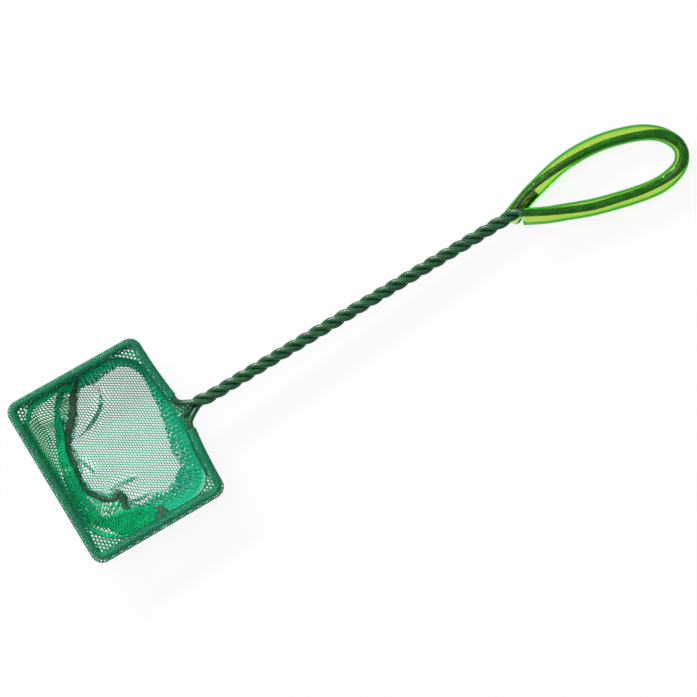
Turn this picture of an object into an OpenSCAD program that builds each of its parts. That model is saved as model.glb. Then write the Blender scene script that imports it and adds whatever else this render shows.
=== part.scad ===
// Aquarium fish net lying on a table, +X along the handle towards the grip, +Z up.
// One coated wire makes the hoop, the three handle strands and the core of the grip loop:
// cut end in the grip, strand a, hoop, strand c, grip loop, strand b, cut end at the neck.
// Lengths are in millimetres. The origin lies on the table under the middle of the mouth.

/* [Wire] */
// Diameter of the wire with its plastic coating
wire_d = 2.6; // [2:0.1:3]
// Diameter of the steel core inside the coating
core_d = 1.6; // [1:0.1:1.8]

/* [Mouth] */
// Width of the mouth at its far side, between wire centres
far_w = 75.7; // [60:0.1:100]
// Width of the mouth at the handle side, between wire centres
near_w = 74.7; // [60:0.1:100]
// Depth of the mouth from the far side to the handle side, between wire centres
mouth_d = 61.2; // [50:0.1:90]
// How far the middle of the far side lies off the handle's axis
far_shift = 1.9; // [-3:0.1:3]
// How far the middle of the handle side lies off the handle's axis
near_shift = 0.7; // [-3:0.1:3]
// Radius of the hoop's corners at the wire's centre
corner_r = 3.4; // [3:0.1:8]

/* [Handle] */
// Length of the neck from the handle side of the mouth to the first full twist
neck_len = 9.3; // [9:0.1:12]
// Half the gap in the handle side where its two wires turn into the neck
neck_half = 8; // [7.5:0.1:10]
// Length of the fully twisted part
twist_len = 157; // [120:1:220]
// Length of one full turn of a strand
twist_pitch = 19.4; // [18:0.1:22]
// Radius of the circle on which the three strand centres run
twist_r = 1.65; // [1.65:0.01:1.8]
// How far the start of the twist stands off the handle's axis
neck_shift = 0.6; // [0:0.1:0.8]
// Height of the wire above the table at the tip of the grip loop
tip_h = 2.65; // [2.65:0.05:4]
// Slope of the wire frame, which lies on the grip and on the bag
frame_slope = 2.2; // [2.1:0.1:3]

/* [Grip] */
// Length of the loop from the end of the twist to its tip
loop_len = 78; // [70:1:100]
// Width of the loop between the tube's centres
loop_w = 30; // [28:1:40]
// Outer diameter of the grip tube
tube_od = 7.6; // [7.4:0.1:8.4]
// Wall of the grip tube
tube_wall = 1.1; // [0.8:0.1:1.1]

/* [Bag] */
// Outer diameter of the hem round the wire
hem_d = 3.6; // [3.4:0.1:4.4]
// Thickness of the netting as one layer in its folds
net_t = 1; // [0.8:0.1:1.4]
// Slope of the bag's sides, from the hem in to where they meet the table
side_lean = 5; // [3:0.1:8]
// Width of the square openings that stand for the much finer mesh of the bag's floor
mesh_gap = 3.4; // [2.4:0.1:3.9]
// Width of the netting between two openings
mesh_bar = 1.6; // [1.2:0.1:2.4]
// Height of the folded netting at the far side
fold_h = 4.5; // [3:0.1:6]
// Width of the seam that joins the two panels
seam_w = 2.6; // [2:0.1:3.2]
// Height of the seam
seam_h = 1.8; // [1.4:0.1:2.4]
// Where the seam meets the hem, measured along the handle from the middle of the mouth
seam_x = 1.2; // [-4:0.1:4]
// Distance between the stitches that close the hem
stitch_pitch = 4; // [3:0.1:6]
// Length of one stitch
stitch_len = 2.6; // [1.6:0.1:2.8]
// Diameter of the sewing thread
thread_d = 0.5; // [0.3:0.05:0.7]
// Height of a stitch over the netting under it
thread_gap = 0.1; // [0.1:0.05:0.3]

/* [Hidden] */

// Sides of the round sections
coat_sides = 8;
core_sides = 5;
tube_sides = 14;
bore_sides = 10;
// Rings in one turn of a strand, and in one corner of the hoop
turn_rings = 10;
corner_rings = 5;
thread_sides = 24;
// Curve pieces between two points of a shape table
curve_steps = 2;
// How far a cut reaches past the faces that it opens
overrun = 1;

near_x = mouth_d / 2;
twist_start = near_x + neck_len;
twist_end = twist_start + twist_len;
tip_x = twist_end + loop_len;
mouth_mid = [0, (far_shift + near_shift) / 2];
mouth_half = [mouth_d / 2, (far_w + near_w) / 4];

// Turns from the top of strand a to the start of the full twist
start_turn_share = 0.206;
// Turn of each strand behind strand a
strand_turn_shares = [0, 1 / 3, 2 / 3];

// Neck of each strand: along as a share of neck_len, across as a share of neck_half,
// height as a share of wire_d, from the hoop's wire end or the cut end
neck_a_shares = [[0.215, 1, 0], [0.24, 0.82, 0], [0.3, 0.63, 0.02], [0.45, 0.48, 0.06], [0.68, 0.34, 0.26]];
neck_b_shares = [[0.2, -0.125, -0.16], [0.41, -0.1, -0.36], [0.62, -0.03, -0.58]];
neck_c_shares = [[0.215, -1, 0], [0.25, -0.8, 0], [0.32, -0.62, 0], [0.46, -0.48, 0.02], [0.68, -0.32, 0.05]];

// Wires between the twist and the grip, all as shares of wire_d
base_a_shares = [[0.77, -0.47, 0.34], [1.54, -0.45, -0.12], [2.3, -0.17, -0.56]];
base_b_shares = [[0.77, 0.58, 0.36], [1.35, 0.37, 0.8], [2.05, 0.04, 1.16]];
base_c_shares = [[0.77, 0.08, -0.72], [1.54, 0.64, -0.75], [2.3, 0.88, -0.74]];

// Grip loop, from the mouth of its upper arm round to the mouth of its lower arm:
// along and across as shares of loop_len and loop_w, then as shares of tube_od its height
// above the wire frame, its width, its height and the slant of its end, then the wire's place
// across and up as shares of its play in the bore
loop_shares = [
    [0.035, -0.02, -0.25, 1.06, 0.88, 0.34, 0.9, 0.9],
    [0.081, 0.03, -0.25, 1.04, 0.9, 0.3, 0.95, 0.9],
    [0.128, 0.08, -0.22, 1, 0.92, 0, 0.97, 0.8],
    [0.18, 0.125, -0.12, 1, 0.95, 0, 0.97, 0.3],
    [0.256, 0.177, 0.06, 1, 1, 0, 0.75, -0.4],
    [0.385, 0.253, 0.18, 1, 1, 0, -0.1, -0.95],
    [0.526, 0.28, 0.18, 1, 1, 0, -0.57, -0.95],
    [0.667, 0.247, 0.18, 1, 1, 0, -0.65, -0.95],
    [0.795, 0.163, 0.18, 0.99, 1.01, 0, -0.65, -0.95],
    [0.897, 0.057, 0.2, 0.95, 1.04, 0, -0.5, -0.95],
    [0.974, -0.087, 0.23, 0.87, 1.1, 0, 0.1, -0.95],
    [1.019, -0.26, 0.25, 0.83, 1.13, 0, 0.6, -0.95],
    [1.031, -0.383, 0.25, 0.82, 1.14, 0, 0.85, -0.95],
    [1.023, -0.5, 0.25, 0.83, 1.13, 0, 0.85, -0.95],
    [0.987, -0.62, 0.23, 0.87, 1.1, 0, 0.4, -0.95],
    [0.923, -0.693, 0.2, 0.95, 1.04, 0, -0.1, -0.95],
    [0.833, -0.723, 0.18, 1, 1, 0, -0.5, -0.95],
    [0.718, -0.687, 0.18, 1, 1, 0, -0.45, -0.95],
    [0.577, -0.6, 0.18, 1, 1, 0, -0.35, -0.95],
    [0.442, -0.5, 0.2, 1, 1, 0, -0.2, -0.95],
    [0.308, -0.367, 0.28, 1, 0.98, 0, -0.4, -0.92],
    [0.192, -0.247, 0.41, 1, 0.93, 0, -0.75, -0.9],
    [0.083, -0.103, 0.5, 0.98, 0.88, 0, -0.95, -0.9]];

// Table points of the grip loop at which the loop's own wire starts and the cut end stops
loop_wire_from = 2;
stub_to = 3.5;
// Place of the cut end across the bore, as a share of its play
stub_side_share = -0.97;

// Rows of a bag panel: how far in from the hem to the foot, and how high, as shares
side_row_shares = [[0, 1], [0.35, 0.55], [0.78, 0.12], [1, 0]];
floor_row_shares = [0.25, 0.5, 0.75, 1];
// Line of the seam along the table, as shares of half the mouth's depth and width
seam_line_shares = [[-0.085, 0.81], [-0.216, 0.71], [-0.428, 0.511], [-0.6, 0.285], [-0.66, 0.019],
    [-0.65, -0.247], [-0.461, -0.434], [-0.314, -0.566], [-0.134, -0.69], [0.02, -0.81]];
// Where a panel's rim leaves a corner of the mouth, as a share of the way there
rim_corner_share = 0.88;

grip_base = [twist_end, 0, 0];

function unit(v) = v / norm(v);
function last(list) = list[len(list) - 1];
// A path with one more point before it and one after it, on its own line
function run_on(path) =
    concat([2 * path[0] - path[1]], path, [2 * last(path) - path[len(path) - 2]]);
function slice(list, from, to) = [for (i = [from:to]) list[i]];
function flat(lists) = [for (list = lists) for (item = list) item];
function scale_each(list, sizes) = [for (p = list) [for (i = [0:len(sizes) - 1]) p[i] * sizes[i]]];
function on_plane(p) = len(p) == 2 ? [p.x, p.y, 0] : p;

// Smooth curve through all the points of a list, of any number of values each
function curve_at(p, i, t) =
    let (n = len(p) - 1,
        a = i == 0 ? 2 * p[0] - p[1] : p[i - 1],
        d = i + 2 > n ? 2 * p[n] - p[n - 1] : p[i + 2],
        b = p[i],
        c = p[i + 1])
    (2 * b + (c - a) * t + (2 * a - 5 * b + 4 * c - d) * t * t + (3 * b - a - 3 * c + d) * t * t * t) / 2;
function smooth(p, steps) =
    [for (i = [0:len(p) - 2]) for (k = [0:steps - 1]) curve_at(p, i, k / steps), last(p)];

// Arc that rounds the corner b between the points a and c
function corner_arc(a, b, c, r) =
    let (u = unit(a - b),
        w = unit(c - b),
        half = acos(u * w) / 2,
        m = b + unit(u + w) * r / sin(half),
        s = b + u * r / tan(half) - m,
        e = b + w * r / tan(half) - m,
        from = atan2(s.y, s.x),
        full = atan2(e.y, e.x) - from,
        turn = full > 180 ? full - 360 : full < -180 ? full + 360 : full)
    [for (i = [0:corner_rings]) let (g = from + turn * i / corner_rings) m + r * [cos(g), sin(g)]];

// The wire frame is drawn flat and then laid with its tip down on the table
function lay(p) = [
    tip_x - (tip_x - p.x) * cos(frame_slope) + p.z * sin(frame_slope),
    p.y,
    tip_h + (tip_x - p.x) * sin(frame_slope) + p.z * cos(frame_slope)];
function lay_all(list) = [for (p = list) lay(p)];

// Direction of a path at one of its points
function heading(path, i) = unit(path[min(i + 1, len(path) - 1)] - path[max(i - 1, 0)]);
function side_of(path, i) = unit(cross([0, 0, 1], heading(path, i)));
// Oval ring across the path, moved along it by a slant that grows with height
function ring(path, i, w, h, sides, slant) =
    let (t = heading(path, i), n = side_of(path, i), b = cross(t, n))
    [for (k = [0:sides - 1])
        let (g = 360 * (k + 0.5) / sides)
        path[i] + n * w / 2 * cos(g) + b * h / 2 * sin(g) + t * slant * sin(g)];

// Faces between rings that follow each other, and over the ends
function wall_faces(start, rings, sides, outward) =
    [for (i = [0:rings - 2]) for (k = [0:sides - 1])
        let (a = start + i * sides + k,
            b = start + i * sides + (k + 1) % sides,
            c = b + sides,
            d = a + sides)
        each (outward ? [[a, b, c], [a, c, d]] : [[c, b, a], [d, c, a]])];
function cap_faces(start, sides, outward) =
    [for (k = [1:sides - 2]) outward ? [start + k + 1, start + k, start] : [start, start + k, start + k + 1]];
// Face between an outer and an inner ring with their own numbers of points
function rim_faces(out_at, out_n, in_at, in_n, outward) =
    let (total = out_n + in_n)
    [for (k = [0:out_n - 1])
        let (j = round((k + 0.5) * in_n / out_n) % in_n,
            a = out_at + k,
            b = out_at + (k + 1) % out_n,
            c = in_at + j)
        outward ? [c, b, a] : [a, b, c],
     for (j = [0:in_n - 1])
        let (ks = [for (k = [0:out_n - 1]) if (round((k + 0.5) * in_n / out_n) % in_n == (j + 1) % in_n) k],
            k0 = first_in_turn(ks, out_n),
            a = in_at + j,
            b = in_at + (j + 1) % in_n,
            c = out_at + k0)
        outward ? [a, b, c] : [c, b, a]];
// The first of a run of numbers that may pass the end of the circle
function first_in_turn(ks, n) =
    let (starts = [for (k = ks) if (len(search((k + n - 1) % n, ks)) == 0) k])
    starts[0];

// Solid bar and hollow tube along a path, whose first and last points only set the direction
// of its ends
module bar(path, d, sides) {
    n = len(path) - 2;
    points = flat([for (i = [1:n]) ring(path, i, d, d, sides, 0)]);
    faces = concat(wall_faces(0, n, sides, false), cap_faces(0, sides, false),
        cap_faces((n - 1) * sides, sides, true));
    polyhedron(points, faces);
}

module tube(path, sizes, bores, out_sides, in_sides, slants) {
    n = len(path) - 2;
    outer = flat([for (i = [1:n]) ring(path, i, sizes[i][0], sizes[i][1], out_sides, slants[i])]);
    inner = flat([for (i = [1:n]) ring(path, i, bores[i][0], bores[i][1], in_sides, slants[i])]);
    in_at = len(outer);
    faces = concat(wall_faces(0, n, out_sides, false), wall_faces(in_at, n, in_sides, true),
        rim_faces(0, out_sides, in_at, in_sides, false),
        rim_faces((n - 1) * out_sides, out_sides, in_at + (n - 1) * in_sides, in_sides, true));
    polyhedron(concat(outer, inner), faces);
}

module even_tube(path, d, bore, out_sides, in_sides) {
    tube(path, [for (p = path) [d, d]], [for (p = path) [bore, bore]], out_sides, in_sides,
        [for (p = path) 0]);
}

module coating(path) {
    even_tube(path, wire_d, core_d, coat_sides, core_sides);
}

module core(path) {
    bar(path, core_d, core_sides);
}

module hem(path) {
    even_tube(path, hem_d, wire_d, coat_sides, coat_sides);
}

// Corners of the hoop, drawn flat
far_left = [-mouth_half.x, far_shift + far_w / 2];
far_right = [-mouth_half.x, far_shift - far_w / 2];
near_left = [mouth_half.x, near_shift + near_w / 2];
near_right = [mouth_half.x, near_shift - near_w / 2];
neck_mouth_x = near_x + neck_a_shares[0][0] * neck_len;
// Where the seam meets the hem on both sides of the mouth
seam_left = [seam_x, far_left.y + (near_left.y - far_left.y) * (seam_x + near_x) / mouth_d];
seam_right = [seam_x, far_right.y + (near_right.y - far_right.y) * (seam_x + near_x) / mouth_d];
neck_left = [neck_mouth_x, neck_half];
neck_right = [neck_mouth_x, -neck_half];
// The handle side bows: along from corner to neck, out as shares of the bow
bow_shares = [[0.2, 0.05], [0.45, 0.2], [0.7, 0.48], [0.88, 0.77], [1, 1]];
function bow(corner, neck) = [for (s = bow_shares)
    [corner.x + s[1] * (neck.x - corner.x), corner.y + s[0] * (neck.y - corner.y)]];
bow_left = bow(near_left, neck_left);
hoop_line = [for (p = concat(
    [for (i = [len(bow_left) - 1:-1:0]) bow_left[i]],
    corner_arc(bow_left[0], near_left, far_left, corner_r),
    [seam_left],
    corner_arc(near_left, far_left, far_right, corner_r),
    corner_arc(far_left, far_right, near_right, corner_r),
    [seam_right],
    corner_arc(far_right, near_right, bow(near_right, neck_right)[0], corner_r),
    bow(near_right, neck_right))) on_plane(p)];
// Numbers of the seam's points on that line
seam_left_at = len(bow_left) + corner_rings + 1;
seam_right_at = seam_left_at + 2 * (corner_rings + 1) + 1;

// Centre of a strand in the full twist at a distance from its start
function twist_turn(strand, along) =
    360 * (start_turn_share - strand_turn_shares[strand] + along / twist_pitch);
function settle(along) = let (s = min(1, along / neck_len)) neck_shift * (1 - s * s * (3 - 2 * s));
function twist_point(strand, along) =
    let (g = twist_turn(strand, along))
    [twist_start + along, settle(along) + twist_r * cos(g), twist_r * sin(g)];
twist_steps = round(twist_len / twist_pitch * turn_rings);
function twist_points(strand) = [for (i = [0:twist_steps]) twist_point(strand, twist_len * i / twist_steps)];

function neck_points(shares) = [for (p = shares)
    [near_x + p[0] * neck_len, p[1] * neck_half, p[2] * wire_d]];
function base_points(shares) = [for (p = shares) grip_base + p * wire_d];

// The grip loop's tube and the places of the wires in its bore, drawn flat
loop_rows = smooth(scale_each(loop_shares,
    [loop_len, loop_w, tube_od, tube_od, tube_od, tube_od, 1, 1]), curve_steps);
loop_line = [for (r = loop_rows) grip_base + [r[0], r[1], r[2]]];
loop_sizes = [for (r = loop_rows) [r[3], r[4]]];
loop_bores = [for (s = loop_sizes) [s[0] - 2 * tube_wall, s[1] - 2 * tube_wall]];
loop_slants = [for (r = loop_rows) r[5]];
// A wire off the middle of the oval bore has less play up and down
function bore_point(i, across, up) = loop_line[i]
    + side_of(loop_line, i) * across * (loop_bores[i][0] - wire_d) / 2
    + [0, 0, up * sqrt(1 - across * across) * (loop_bores[i][1] - wire_d) / 2];
loop_wire_line = [for (i = [loop_wire_from * curve_steps:len(loop_rows) - 1])
    bore_point(i, loop_rows[i][6], loop_rows[i][7])];
stub_line = [for (row = [loop_wire_from:1 / curve_steps:stub_to])
    bore_point(row * curve_steps, stub_side_share, loop_rows[row * curve_steps][7])];

// A strand runs from its neck through the twist into the grip; its first and last stretches
// are smooth curves that share points with what they join
function strand(neck, twist, base, end) =
    let (head = smooth(concat(neck, slice(twist, 0, 1)), curve_steps),
        tail = smooth(concat(slice(twist, len(twist) - 2, len(twist) - 1), base, end), curve_steps),
        body = slice(twist, 2, len(twist) - 3))
    concat(head, body, tail);
strand_a = strand(neck_points(neck_a_shares), twist_points(0), base_points(base_a_shares), stub_line);
strand_b = strand(neck_points(neck_b_shares), twist_points(1), base_points(base_b_shares),
    [last(loop_wire_line)]);
strand_c = strand(neck_points(neck_c_shares), twist_points(2), base_points(base_c_shares),
    [loop_wire_line[0]]);
// Each stretch of wire borrows its neighbour's next point, so that their ends meet flush
strand_a_path = lay_all(concat([hoop_line[1]], strand_a, [last(run_on(strand_a))]));
strand_b_path = lay_all(concat([run_on(strand_b)[0]], strand_b, [loop_wire_line[len(loop_wire_line) - 2]]));
strand_c_path = lay_all(concat([hoop_line[len(hoop_line) - 2]], strand_c, [loop_wire_line[1]]));
hoop_path = lay_all(concat([strand_a[1]], hoop_line, [strand_c[1]]));
loop_path = lay_all(concat([strand_c[len(strand_c) - 2]], loop_wire_line, [strand_b[len(strand_b) - 2]]));
tube_path = lay_all(run_on(loop_line));
tube_sizes = run_on(loop_sizes);
tube_bores = run_on(loop_bores) / cos(180 / bore_sides);
tube_slants = run_on(loop_slants);

// Rim of the bag in plan, at the wire, from the seam round one half of the mouth
near_rim = rim(near_left, near_right, seam_w / 2);
far_rim = rim(far_left, far_right, -seam_w / 2);
function rim(left, right, edge) =
    let (a = seam_left + [edge, 0],
        z = seam_right + [edge, 0])
    concat([for (i = [0:2]) a + (left - a) * rim_corner_share * i / 3],
        corner_arc(a, left, right, corner_r),
        [for (i = [1:3]) left + (right - left) * i / 4],
        corner_arc(left, right, z, corner_r),
        [for (i = [2:-1:0]) z + (right - z) * rim_corner_share * i / 3]);

// Height of the wire over the table at a point of the plan
function wire_z(p) = lay(on_plane(p)).z;
// A point of the plan drawn in towards the middle of the mouth
function draw_in(p, inset) = [
    mouth_mid.x + (p.x - mouth_mid.x) * (1 - inset / mouth_half.x),
    mouth_mid.y + (p.y - mouth_mid.y) * (1 - inset / mouth_half.y)];

// The panels hang inside the hem, their top edge a little under the wire's centre
rim_inset = hem_d / 2;
rim_drop = hem_d / 4;
seam_line = smooth([for (s = seam_line_shares)
    [mouth_mid.x + s[0] * mouth_half.x, mouth_mid.y + s[1] * mouth_half.y]], curve_steps);
// Point of a line at a share of its number of steps
function along_line(line, share) =
    let (at = share * (len(line) - 1), i = min(floor(at), len(line) - 2))
    line[i] + (line[i + 1] - line[i]) * (at - i);
// Direction square to a line, from its points a little before and after
side_reach_share = 0.02;
function line_side(line, share) =
    let (d = along_line(line, min(share + side_reach_share, 1))
            - along_line(line, max(share - side_reach_share, 0)))
    unit([-d.y, d.x]);
function seam_edge(share, edge) = along_line(seam_line, share) + line_side(seam_line, share) * edge;

// One bag panel as rows of points from the hem down the side and over the table to the seam
function panel_rows(rim_line, edge, t, pile) =
    let (n = len(rim_line) - 1)
    concat(
        [for (row = side_row_shares) [for (i = [0:n])
            let (q = draw_in(rim_line[i], rim_inset + row[0] * side_lean + t),
                top = wire_z(rim_line[i]) - rim_drop)
            [q.x, q.y, row[1] == 0 ? t : row[1] * top + t * (1 - row[1])]]],
        [for (share = floor_row_shares) [for (i = [0:n])
            let (a = draw_in(rim_line[i], rim_inset + side_lean + t),
                b = seam_edge(i / n, edge),
                q = a + (b - a) * share)
            [q.x, q.y, t + pile * sin(180 * share)]]]);

function sheet_faces(rows, cols, start, up) =
    [for (i = [0:rows - 2]) for (k = [0:cols - 2])
        let (a = start + i * cols + k, b = a + 1, c = b + cols, d = a + cols)
        each (up ? [[a, b, c], [a, c, d]] : [[c, b, a], [d, c, a]])];
// Ring of point numbers round the edge of a sheet
function edge_ring(rows, cols) = concat(
    [for (k = [0:cols - 1]) k],
    [for (i = [1:rows - 1]) i * cols + cols - 1],
    [for (k = [cols - 2:-1:0]) (rows - 1) * cols + k],
    [for (i = [rows - 2:-1:1]) i * cols]);

module panel(rim_line, edge, pile, up) {
    low = panel_rows(rim_line, edge, 0, 0);
    high = panel_rows(rim_line, edge, net_t, pile);
    rows = len(low);
    cols = len(low[0]);
    edge_points = edge_ring(rows, cols);
    count = rows * cols;
    m = len(edge_points);
    faces = concat(
        sheet_faces(rows, cols, 0, !up),
        sheet_faces(rows, cols, count, up),
        [for (k = [0:m - 1])
            let (a = edge_points[k], b = edge_points[(k + 1) % m], c = b + count, d = a + count)
            each (up ? [[a, b, c], [a, c, d]] : [[c, b, a], [d, c, a]])]);
    polyhedron(concat(flat(low), flat(high)), faces);
}

// Openings in the floor of the near panel, in rows from the foot of its wall to the seam
mesh_pitch = mesh_gap + mesh_bar;
mesh_inset = rim_inset + side_lean + net_t;
mesh_near_x = near_x - mesh_inset - mesh_bar;
mesh_half = min(near_w, far_w) / 2 - abs(far_shift - near_shift) / 2 - mesh_inset;
mesh_rows = floor((2 * mesh_half - mesh_bar) / mesh_pitch);
seam_places = [for (i = [0:len(near_rim) - 1])
    let (p = seam_edge(i / (len(near_rim) - 1), seam_w / 2)) [p.y, p.x]];
function seam_reach(y) = max(lookup(y - mesh_gap / 2, seam_places), lookup(y, seam_places),
    lookup(y + mesh_gap / 2, seam_places));
module mesh_openings() {
    for (j = [0:mesh_rows - 1]) {
        y = mouth_mid.y + (j - (mesh_rows - 1) / 2) * mesh_pitch;
        count = floor((mesh_near_x - seam_reach(y)) / mesh_pitch);
        for (i = [0:count - 1])
            translate([mesh_near_x - mesh_gap / 2 - i * mesh_pitch, y])
                square(mesh_gap, center = true);
    }
}

module hoop_core() {
    color("silver") core(hoop_path);
}

module hoop_coating() {
    color("darkgreen") coating(hoop_path);
}

module strand_a_core() {
    color("silver") core(strand_a_path);
}

module strand_a_coating() {
    color([0.05, 0.25, 0.12]) coating(strand_a_path);
}

module strand_b_core() {
    color("silver") core(strand_b_path);
}

module strand_b_coating() {
    color([0.07, 0.32, 0.16]) coating(strand_b_path);
}

module strand_c_core() {
    color("silver") core(strand_c_path);
}

module strand_c_coating() {
    color([0.04, 0.2, 0.1]) coating(strand_c_path);
}

module loop_core() {
    color("silver") core(loop_path);
}

module loop_coating() {
    color([0.04, 0.2, 0.1]) coating(loop_path);
}

module grip_tube() {
    color([0.55, 0.85, 0.2, 0.6])
        tube(tube_path, tube_sizes, tube_bores, tube_sides, bore_sides, tube_slants);
}

// The hoop's path has one more point in front than its line
module hem_near_left() {
    color([0.1, 0.45, 0.3]) hem(slice(hoop_path, 0, seam_left_at + 2));
}

module hem_far() {
    color([0.1, 0.4, 0.28]) hem(slice(hoop_path, seam_left_at, seam_right_at + 2));
}

module hem_near_right() {
    color([0.1, 0.45, 0.3]) hem(slice(hoop_path, seam_right_at, len(hoop_path) - 1));
}

module near_panel() {
    color([0.2, 0.7, 0.5]) difference() {
        panel(near_rim, seam_w / 2, 0, true);
        translate([0, 0, -overrun]) linear_extrude(net_t + 2 * overrun) mesh_openings();
    }
}

module far_panel() {
    color([0.1, 0.6, 0.4]) panel(far_rim, -seam_w / 2, fold_h - net_t, false);
}

// Edge of a panel along the seam: down one side, over the table and up the other side
function seam_side(rim_line, edge, t) =
    let (rows = panel_rows(rim_line, edge, t, 0), m = len(rows) - 1, n = len(rows[0]) - 1)
    concat([for (i = [0:m]) rows[i][0]], [for (k = [1:n - 1]) rows[m][k]], [for (i = [m:-1:0]) rows[i][n]]);

module bag_seam() {
    sides = [seam_side(far_rim, -seam_w / 2, 0), seam_side(near_rim, seam_w / 2, 0),
        seam_side(near_rim, seam_w / 2, seam_h), seam_side(far_rim, -seam_w / 2, seam_h)];
    n = len(sides[0]);
    points = [for (i = [0:n - 1]) for (side = sides) side[i]];
    faces = concat(wall_faces(0, n, len(sides), false), cap_faces(0, len(sides), false),
        cap_faces((n - 1) * len(sides), len(sides), true));
    color([0.1, 0.25, 0.2]) polyhedron(points, faces);
}

// Stitches along one side of the mouth, on the top edge of the panels and clear of its corners
stitch_margin = 2 * corner_r;
module stitch_row(a, b) {
    side_len = norm(b - a);
    count = floor((side_len - 2 * stitch_margin) / stitch_pitch);
    for (i = [0:count]) {
        q = a + unit(b - a) * (side_len / 2 + (i - count / 2) * stitch_pitch);
        place = draw_in(q, rim_inset + net_t / 2);
        translate([place.x, place.y, wire_z(q) - rim_drop + thread_gap + thread_d / 2])
            rotate([0, 90, atan2(b.y - a.y, b.x - a.x)])
            cylinder(d = thread_d, h = stitch_len, center = true, $fn = thread_sides);
    }
}

module hem_stitches() {
    color([0.15, 0.35, 0.25]) {
        stitch_row(near_left, far_left);
        stitch_row(far_left, far_right);
        stitch_row(far_right, near_right);
        stitch_row(near_right, near_left);
    }
}

hoop_core();
hoop_coating();
strand_a_core();
strand_a_coating();
strand_b_core();
strand_b_coating();
strand_c_core();
strand_c_coating();
loop_core();
loop_coating();
grip_tube();
near_panel();
far_panel();
hem_near_left();
hem_near_right();
hem_far();
bag_seam();
hem_stitches();
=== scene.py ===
import math

import bpy
import numpy as np
from mathutils import Matrix, Vector


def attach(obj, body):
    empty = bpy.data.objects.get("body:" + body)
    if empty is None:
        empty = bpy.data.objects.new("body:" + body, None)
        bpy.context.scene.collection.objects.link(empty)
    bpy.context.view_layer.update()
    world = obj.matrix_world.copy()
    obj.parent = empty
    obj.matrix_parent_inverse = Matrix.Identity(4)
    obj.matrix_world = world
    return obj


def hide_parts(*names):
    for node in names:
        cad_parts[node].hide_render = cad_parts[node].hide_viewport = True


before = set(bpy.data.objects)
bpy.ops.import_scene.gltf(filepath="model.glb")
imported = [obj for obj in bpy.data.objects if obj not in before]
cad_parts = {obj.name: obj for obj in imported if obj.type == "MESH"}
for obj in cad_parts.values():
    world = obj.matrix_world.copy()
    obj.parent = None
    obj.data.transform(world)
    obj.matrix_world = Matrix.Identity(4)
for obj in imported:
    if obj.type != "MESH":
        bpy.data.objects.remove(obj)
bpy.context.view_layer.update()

# Lengths are in millimetres until a mesh is made
MM = 0.001

# Sizes of the part, as its source names them
WIRE_D = 2.6
CORE_D = 1.6
FAR_W = 75.7
NEAR_W = 74.7
MOUTH_D = 61.2
FAR_SHIFT = 1.9
NEAR_SHIFT = 0.7
CORNER_R = 3.4
NECK_LEN = 9.3
NECK_HALF = 8
TWIST_LEN = 157
TWIST_PITCH = 19.4
TWIST_R = 1.65
NECK_SHIFT = 0.6
TIP_H = 2.65
FRAME_SLOPE = math.radians(2.2)
LOOP_LEN = 78
LOOP_W = 30
TUBE_OD = 7.6
TUBE_WALL = 1.1
HEM_D = 3.6
SEAM_X = 1.2

# Points in a turn of the twist, and the part of a turn at which it and its strands start
TURN_RINGS = 10
START_TURN = 0.206
STRAND_TURNS = (0, 1 / 3, 2 / 3)
# The strands on their way into the twist, as shares of the neck's length, its half width and the
# wire's thickness, and on their way out of it, as shares of the wire's thickness
NECK_A = [[0.215, 1, 0], [0.24, 0.82, 0], [0.3, 0.63, 0.02], [0.45, 0.48, 0.06],
          [0.68, 0.34, 0.26]]
NECK_B = [[0.2, -0.125, -0.16], [0.41, -0.1, -0.36], [0.62, -0.03, -0.58]]
NECK_C = [[0.215, -1, 0], [0.25, -0.8, 0], [0.32, -0.62, 0], [0.46, -0.48, 0.02],
          [0.68, -0.32, 0.05]]
BASE_A = [[0.77, -0.47, 0.34], [1.54, -0.45, -0.12], [2.3, -0.17, -0.56]]
BASE_B = [[0.77, 0.58, 0.36], [1.35, 0.37, 0.8], [2.05, 0.04, 1.16]]
BASE_C = [[0.77, 0.08, -0.72], [1.54, 0.64, -0.75], [2.3, 0.88, -0.74]]
# The mouth's near side from a corner to the neck, as shares of the way across and along
BOW = [[0.2, 0.05], [0.45, 0.2], [0.7, 0.48], [0.88, 0.77], [1, 1]]
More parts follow.
